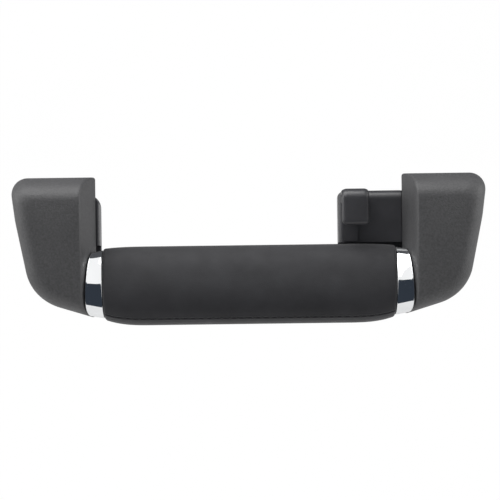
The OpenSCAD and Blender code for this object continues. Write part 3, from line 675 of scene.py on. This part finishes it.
def meet(p, u, q, v):
    """Where the line through p along u meets the line through q along v, row by row."""
    t = ((q[:, 0] - p[:, 0]) * v[:, 1] - (q[:, 1] - p[:, 1]) * v[:, 0]) / (
        u[:, 0] * v[:, 1] - u[:, 1] * v[:, 0]
    )
    return p + u * t[:, None]


def moved(p, q, s):
    """The line from p to q, moved to its right by s, row by row: a point and a direction."""
    d = (np.array(q) - np.array(p)) / np.linalg.norm(np.array(q) - np.array(p))
    return np.array(p) + s[:, None] * np.array([d[1], -d[0]]), np.broadcast_to(d, (len(s), 2))


def round_corner(a, b, c, r, steps):
    """Arcs of radius r at the corners b between a and c, row by row, as in the CAD source."""
    length_u = np.linalg.norm(a - b, axis=-1)
    length_v = np.linalg.norm(c - b, axis=-1)
    u, v = (a - b) / length_u[:, None], (c - b) / length_v[:, None]
    half_angle = np.arccos(np.clip((u * v).sum(-1), -1, 1)) / 2
    reach = np.minimum(r / np.tan(half_angle), 0.45 * np.minimum(length_u, length_v))
    radius = reach * np.tan(half_angle)
    bisector = (u + v) / np.linalg.norm(u + v, axis=-1, keepdims=True)
    middle = b + bisector * (radius / np.sin(half_angle))[:, None]
    start, end = b + u * reach[:, None] - middle, b + v * reach[:, None] - middle
    a0 = np.arctan2(start[:, 1], start[:, 0])
    sweep_angle = (np.arctan2(end[:, 1], end[:, 0]) - a0 + 3 * np.pi) % (2 * np.pi) - np.pi
    angle = a0[:, None] + sweep_angle[:, None] * np.linspace(0, 1, steps + 1)
    return middle[:, None, :] + radius[:, None, None] * np.stack([np.cos(angle), np.sin(angle)], -1)


def leg_outline(w, wall):
    """Outlines (x, z) of the housing at the depth shares w, anticlockwise from the cabin."""
    ones = np.ones_like(w)
    inner_in = inner_lean * w + rounding(w, inner_edge, 16) + wall
    top_in = top_lean * w + rounding(w, top_round, 3) + wall
    outer_in = outer_lean * w + rounding(w, side_round, 5) + wall
    under_in = under_lean * w + rounding(w, under_round, 3.5) + wall
    b0, e0 = [leg_w, leg_top], [leg_w - shoulder_in, leg_top - shoulder_drop]
    c0, d0 = [leg_w - heel_in, leg_top - heel_drop], [0, leg_top - leg_h]
    inner = np.stack([inner_in, 0 * ones], -1), np.stack([0 * ones, ones], -1)
    top = np.stack([0 * ones, leg_top - top_in], -1), np.stack([ones, 0 * ones], -1)
    upper, lower, under = moved(b0, e0, outer_in), moved(e0, c0, outer_in), moved(c0, d0, under_in)
    a, b = meet(*inner, *top), meet(*top, *upper)
    e, c, d = meet(*upper, *lower), meet(*lower, *under), meet(*under, *inner)
    arcs = [
        round_corner(d, a, b, inner_top_r, 6),
        round_corner(a, b, e, shoulder_r - wall / 2, 20),
        round_corner(b, e, c, side_bow_r, 12),
        round_corner(e, c, d, heel_r - wall / 2, 24),
        round_corner(c, d, a, toe_r, 8),
    ]
    return np.concatenate(arcs, 1)[:, ::-1]


def leg_depth(w, z, wall):
    """Depth in front of the open back. The face falls back towards both ends, most at the lower.

    Below the hinge by face_lean times (drop / full drop) to the power 1.3, and above the middle
    by face_rise times the square of (height above the middle / height of the upper half).
    """
    low = np.clip(-z / (heel_drop - leg_top), 0, 1) ** 1.3
    high = np.clip((z + leg_h / 2 - leg_top) / (leg_h / 2), 0, 1) ** 2
    return w * (leg_d - wall - face_lean * low - face_rise * high)


def leg_rows(wall, side_steps, face_steps):
    """Rows of the shell from its open back to the face, then across the face to its middle."""
    w = np.sin(np.linspace(0, np.pi / 2, side_steps + 1))
    outline = leg_outline(w, wall)
    depth = leg_depth(w[:, None], outline[..., 1], wall)
    sides = np.stack([outline[..., 0], back_y - depth, outline[..., 1]], -1)
    edge = outline[-1]
    middle = (edge.min(0) + edge.max(0)) / 2
    share = np.linspace(1, 0, face_steps + 2)[1:-1, None]
    across = middle + share[..., None] * (edge - middle)
    y = back_y - leg_depth(1.0, across[..., 1], wall) - face_crown * (1 - share**2)
    face = np.stack([across[..., 0], y, across[..., 1]], -1)
    return np.concatenate([sides, face])


# %% From a leg's own frame to the handle
def place_leg(rows, mirrored):
    """Moves rows from the right leg's frame to the handle's, or to the left end's mirror image."""
    placed = (rows + np.array([leg_x, -hinge_y, hinge_z])) * mm
    if mirrored:
        placed = placed[:, ::-1] * np.array([-1, 1, 1])
    return placed


# %% [markdown]
# Where the arm passes into a housing, the inner wall has a notch that is open to the back, and
# two bosses inside take the screws. The notch is cut and the bosses are added with Boolean
# modifiers, whose cutters are simple closed tubes. The result is then stored as a plain mesh.


# %% The notch and the bosses
grip_leg_y, grip_leg_z = hinge_y - grip_y, grip_rise - grip_drop - hinge_z
hinge_x, ear_in, side_gap, arm_t = 21.6, 10.4, 0.3, 3.0
boss_half, notch_fit = np.array([10.8, 7.0]), 0.6
boss_end = ear_in + side_gap + arm_t
web_front = -14.0


def notch_cutter():
    """A bar of the boss's section, pulled back through the housing's open side."""
    t = np.linspace(0, 2 * np.pi, 96, endpoint=False)
    section = oval(t, *(boss_half + notch_fit)) + np.array([grip_leg_y, grip_leg_z])
    front = section[section[:, 0] <= grip_leg_y + 0.01]
    front = front[np.argsort(-np.arctan2(front[:, 1] - grip_leg_z, -(front[:, 0] - grip_leg_y)))]
    back = np.array([[back_y + 2, front[-1, 1]], [back_y + 2, front[0, 1]]])
    loop = np.vstack([front, back])
    return np.stack([np.column_stack([np.full(len(loop), x), loop]) for x in (-2.0, boss_end)])


def boss_bar(x, z, y_front, y_back, r, sides=32):
    """A round bar along Y."""
    a = np.linspace(0, 2 * np.pi, sides, endpoint=False)
    ring = np.stack([x + r * np.cos(a), z + r * np.sin(a)], -1)
    return np.stack(
        [np.stack([ring[:, 0], np.full(sides, y), ring[:, 1]], -1) for y in (y_back, y_front)]
    )


def with_booleans(piece, steps):
    """Applies Boolean steps, each (operation, cutter mesh), and returns the plain mesh."""
    cutters = []
    for operation, mesh in steps:
        cutter = bpy.data.objects.new("cutter", mesh)
        bpy.context.scene.collection.objects.link(cutter)
        modifier = piece.modifiers.new("cut", "BOOLEAN")
        modifier.operation, modifier.object, modifier.solver = operation, cutter, "EXACT"
        cutters.append(cutter)
    evaluated = piece.evaluated_get(bpy.context.evaluated_depsgraph_get())
    mesh = bpy.data.meshes.new_from_object(evaluated)
    piece.modifiers.clear()
    for cutter in cutters:
        bpy.data.objects.remove(cutter)
    return mesh


def make_housing(name, mirrored):
    shell = np.concatenate([leg_rows(leg_wall, 14, 2)[::-1], leg_rows(0.0, 44, 6)])
    piece = add_piece(name, rows_to_mesh(name, place_leg(shell, mirrored), capped=True))
    steps = []
    for z in (-15.0, -37.0):
        face_y = back_y - leg_depth(1.0, np.array(z), leg_wall) - face_crown
        bar = boss_bar(hinge_x, z, float(face_y) - 0.5, web_front - 0.15, 3.4)
        steps.append(("UNION", rows_to_mesh("boss", place_leg(bar, mirrored), capped=True)))
    steps.append(
        ("DIFFERENCE", rows_to_mesh("notch", place_leg(notch_cutter(), mirrored), capped=True))
    )
    piece.data = with_booleans(piece, steps)
    piece.data.set_sharp_from_angle(angle=math.radians(40))
    finish_piece(piece, finishes["grained_plastic"])
    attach(piece, "handle")
    return piece


for side, mirrored in (("left", True), ("right", False)):
    housing = make_housing(side + "_housing_shell", mirrored)
    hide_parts(side + "_housing")
    print(housing.name, len(housing.data.polygons), "faces")

# %% [markdown]
# ## The collars
#
# A collar is a short plated ring with small rounded edges, which gets lower and thicker towards
# the housing. Its outer end is cut along the leaning wall of the housing, so the ring is wider
# at the front than at the back.

# %% The collars
collar_half, collar_growth = np.array([19.1, 11.4]), np.array([-1.3, 0.3])
collar_lead, collar_rise, collar_t, collar_flange, wall_gap = 2.7, 0.3, 1.8, 1.6, 0.2
grip_end_x = grip_len / 2 - leg_x


def wall_x(y):
    """X of the housing's inner wall at depth y, less the gap, in a leg's frame."""
    return inner_lean * (back_y - y) / leg_d - wall_gap


def collar_middle(part):
    """Middle (y, z) of the section at share part of the way from the grip to the housing."""
    return np.array([grip_leg_y - collar_lead * part**1.6, grip_leg_z + collar_rise * part])


def collar_rows(t):
    """Rows along the collar's outside, over its rounded edge and back along its inside."""
    start = grip_end_x + 0.15
    edge_r = 0.6
    turn = np.radians(np.linspace(0, 90, 6))
    near_share = 0.068 * (1 - np.cos(turn))
    share = np.concatenate([near_share, np.linspace(0.12, 0.88, 9), (1 - near_share)[::-1], [1, 0.8, 0.4, 0]])
    less = np.concatenate([edge_r * (1 - np.sin(turn)), np.zeros(9), (edge_r * (1 - np.sin(turn)))[::-1], [collar_t] * 4])
    rows = []
    for part, inset in zip(share, less):
        a, b = collar_half + collar_growth * part - inset
        ring = oval(t, a, b) + collar_middle(part)
        inner_end = start + end_lean * (ring[:, 1] - grip_leg_z)
        x = inner_end + (wall_x(ring[:, 0]) - inner_end) * part
        rows.append(np.column_stack([x, ring]))
    return np.stack(rows)


def flange_rows(t):
    """Rows of the flange that centres the collar on the arm."""
    out = wall_x(grip_leg_y + collar_half[1])
    part = 0.6
    hole = oval(t, *(boss_half + 0.15)) + np.array([grip_leg_y, grip_leg_z])
    rim = oval(t, *(collar_half + collar_growth * part - 0.8 * collar_t))
    rim = rim + collar_middle(part)
    corners = [(out - collar_flange, hole), (out - collar_flange, rim), (out, rim), (out, hole)]
    return np.stack([np.column_stack([np.full(len(t), x), ring]) for x, ring in corners])


ring_t = np.linspace(0, 2 * np.pi, 144, endpoint=False)
for side, mirrored in (("left", True), ("right", False)):
    name = side + "_collar_ring"
    mesh = join_meshes(
        name,
        [
            rows_to_mesh("ring", place_leg(collar_rows(ring_t), mirrored), looped=True),
            rows_to_mesh("flange", place_leg(flange_rows(ring_t), mirrored), looped=True),
        ],
    )
    collar = add_piece(name, mesh)
    finish_piece(collar, finishes["chrome"])
    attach(collar, "handle")
    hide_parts(side + "_collar")

# %% [markdown]
# ## The coat hook
#
# The hook is a bent strap: up from its screw, forward over the throat and down in front, where
# it ends in a rounded lip. Its section is a rectangle with round corners, swept along the middle
# line, and the light catches those round edges as thin bright lines.

# %% The coat hook
hook_x0, hook_w, hook_t, hook_soft_r, hook_lip_r = -26.3, 14.8, 4.0, 1.9, 2.6
hook_back, hook_front, hook_top, hook_low, hook_bend = 1.8, -11.8, 1.7, -18.0, 5.5
tongue_x0, tongue_w, tongue_low, tongue_top = -28.1, 7.2, -12.0, -6.5
hook_screw_z, hook_hole_r = -8.0, 1.5


def strap_arc(y, z, r, start, stop, steps=12):
    """An arc about (y, z) as points (y, z), without its first point."""
    a = np.radians(np.linspace(start, stop, steps + 1))[1:]
    return np.stack([y + r * np.cos(a), z + r * np.sin(a)], -1)


def hook_path():
    """The strap's middle line as points (y, z), and each point's distance past the lip's start."""
    half_t, back_r, front_r = hook_t / 2, 2.0, hook_bend - hook_t / 2
    back, front, high = hook_back - half_t, hook_front + half_t, hook_top - half_t
    lip = hook_low + hook_lip_r
    up = np.stack([np.full(12, back), np.linspace(tongue_low, high - back_r, 12)], -1)
    down = np.stack([np.full(10, front), np.linspace(high - front_r, lip, 11)[1:]], -1)
    past = hook_lip_r * np.sin(np.linspace(0, np.pi / 2, 11))[1:]
    end = np.stack([np.full(10, front), lip - past], -1)
    path = np.concatenate([
        up, strap_arc(back - back_r, high - back_r, back_r, 0, 90),
        strap_arc(front + front_r, high - front_r, front_r, 90, 180), down, end,
    ])
    return path, np.concatenate([np.zeros(len(path) - 10), past])


def hook_rows(corner_steps=6):
    """Rings across the strap, whose corners are half as wide again as they are thick.

    The lip's ring shrinks by 1 - sqrt(1 - (distance / lip radius)^2) of the lip radius.
    """
    path, past = hook_path()
    run = np.gradient(path, axis=0)
    run /= np.linalg.norm(run, axis=1, keepdims=True)
    run[past > 0] = [0, -1]
    shrink = 1 - np.sqrt(np.maximum(0, 1 - (past / hook_lip_r) ** 2))
    narrow = (path[:, 1] < tongue_top) & (path[:, 0] > hook_back - hook_t)
    half_w = np.where(narrow, tongue_w / 2, hook_w / 2 - hook_lip_r * shrink)
    half_t = hook_t / 2 - (hook_t / 2 - 0.15) * shrink
    r = np.minimum(hook_soft_r, half_t * 0.95)
    quarter = np.linspace(0, np.pi / 2, corner_steps + 1)
    a = np.concatenate([quarter + k * np.pi / 2 for k in range(4)])
    side_w = np.repeat([1, -1, -1, 1], corner_steps + 1)
    side_t = np.repeat([1, 1, -1, -1], corner_steps + 1)
    wide = side_w * (half_w - 1.5 * r)[:, None] + 1.5 * r[:, None] * np.cos(a)
    thick = side_t * (half_t - r)[:, None] + r[:, None] * np.sin(a)
    x = np.where(narrow, tongue_x0, hook_x0)[:, None] + wide
    y = path[:, :1] + thick * run[:, 1:]
    return np.stack([x, y, path[:, 1:] - thick * run[:, :1]], -1)


hook = add_piece(
    "coat_hook_strap", rows_to_mesh("coat_hook_strap", place_leg(hook_rows(), False), capped=True)
)
hole = boss_bar(tongue_x0, hook_screw_z, hook_back - hook_t + 0.6, hook_back + 1, hook_hole_r)
hook.data = with_booleans(
    hook, [("DIFFERENCE", rows_to_mesh("hole", place_leg(hole, False), capped=True))]
)
hook.data.set_sharp_from_angle(angle=math.radians(50))
finish_piece(hook, finishes["smooth_plastic"])
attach(hook, "brackets")
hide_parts("coat_hook")
print(hook.name, len(hook.data.polygons), "faces")

# %% [markdown]
# ## The pieces that keep their CAD shape
#
# Brackets, arms, pins and screws have the right shape already. Moulded pieces have no
# knife edges, so they get a small bevel, and the round ones are shaded smooth.

# %% Bevels
bevels = {
    "left_bracket": 0.35, "right_bracket": 0.35, "left_arm": 0.3, "right_arm": 0.3,
    "left_screw_cover": 0.2, "right_screw_cover": 0.2, "damper_body": 0.2,
    "left_bumper": 0.4, "right_bumper": 0.4,
}
for name, node in nodes.items():
    node.data.polygons.foreach_set("use_smooth", np.ones(len(node.data.polygons), bool))
    node.data.set_sharp_from_angle(angle=math.radians(35))
    if name in bevels:
        bevel = node.modifiers.new("soft_edges", "BEVEL")
        bevel.width = bevels[name] * mm
        bevel.segments = 3
        bevel.limit_method = "ANGLE"
        bevel.angle_limit = math.radians(40)
        bevel.harden_normals = True
